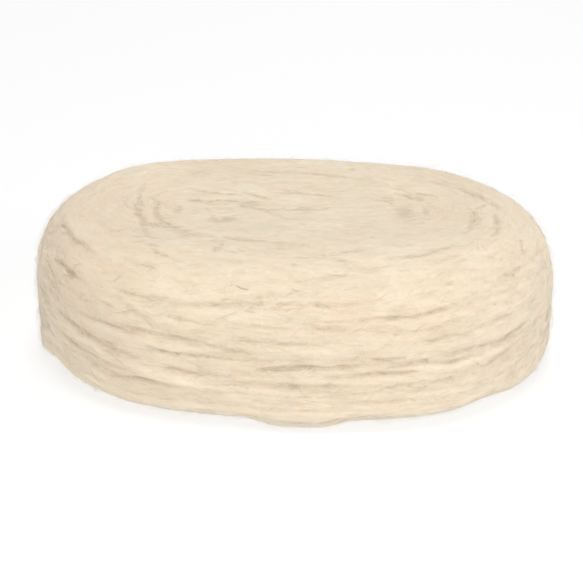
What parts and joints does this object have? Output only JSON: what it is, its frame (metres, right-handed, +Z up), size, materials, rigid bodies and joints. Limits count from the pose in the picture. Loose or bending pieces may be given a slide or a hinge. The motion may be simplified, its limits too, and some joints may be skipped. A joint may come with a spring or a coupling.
{
  "type": "plate of unspun lopi yarn",
  "caption": "Oval plate of soft, untwisted wool roving wound flat round a collapsed core, resting on its flat underside.",
  "frame": {"origin": "on the ground, under the middle of the plate's box", "axes": "+Z up through the plate's thickness; +X along the slit at its middle, the long axis of the oval; -Y towards the front"},
  "size_m": [0.18, 0.1306, 0.0523],
  "materials": {
    "wool": "matte cream-white wool roving, streaked along the winding, with soft loose fibres"
  },
  "bodies": {
    "root": {"wound_plate": "wool"}
  },
  "joints": []
}
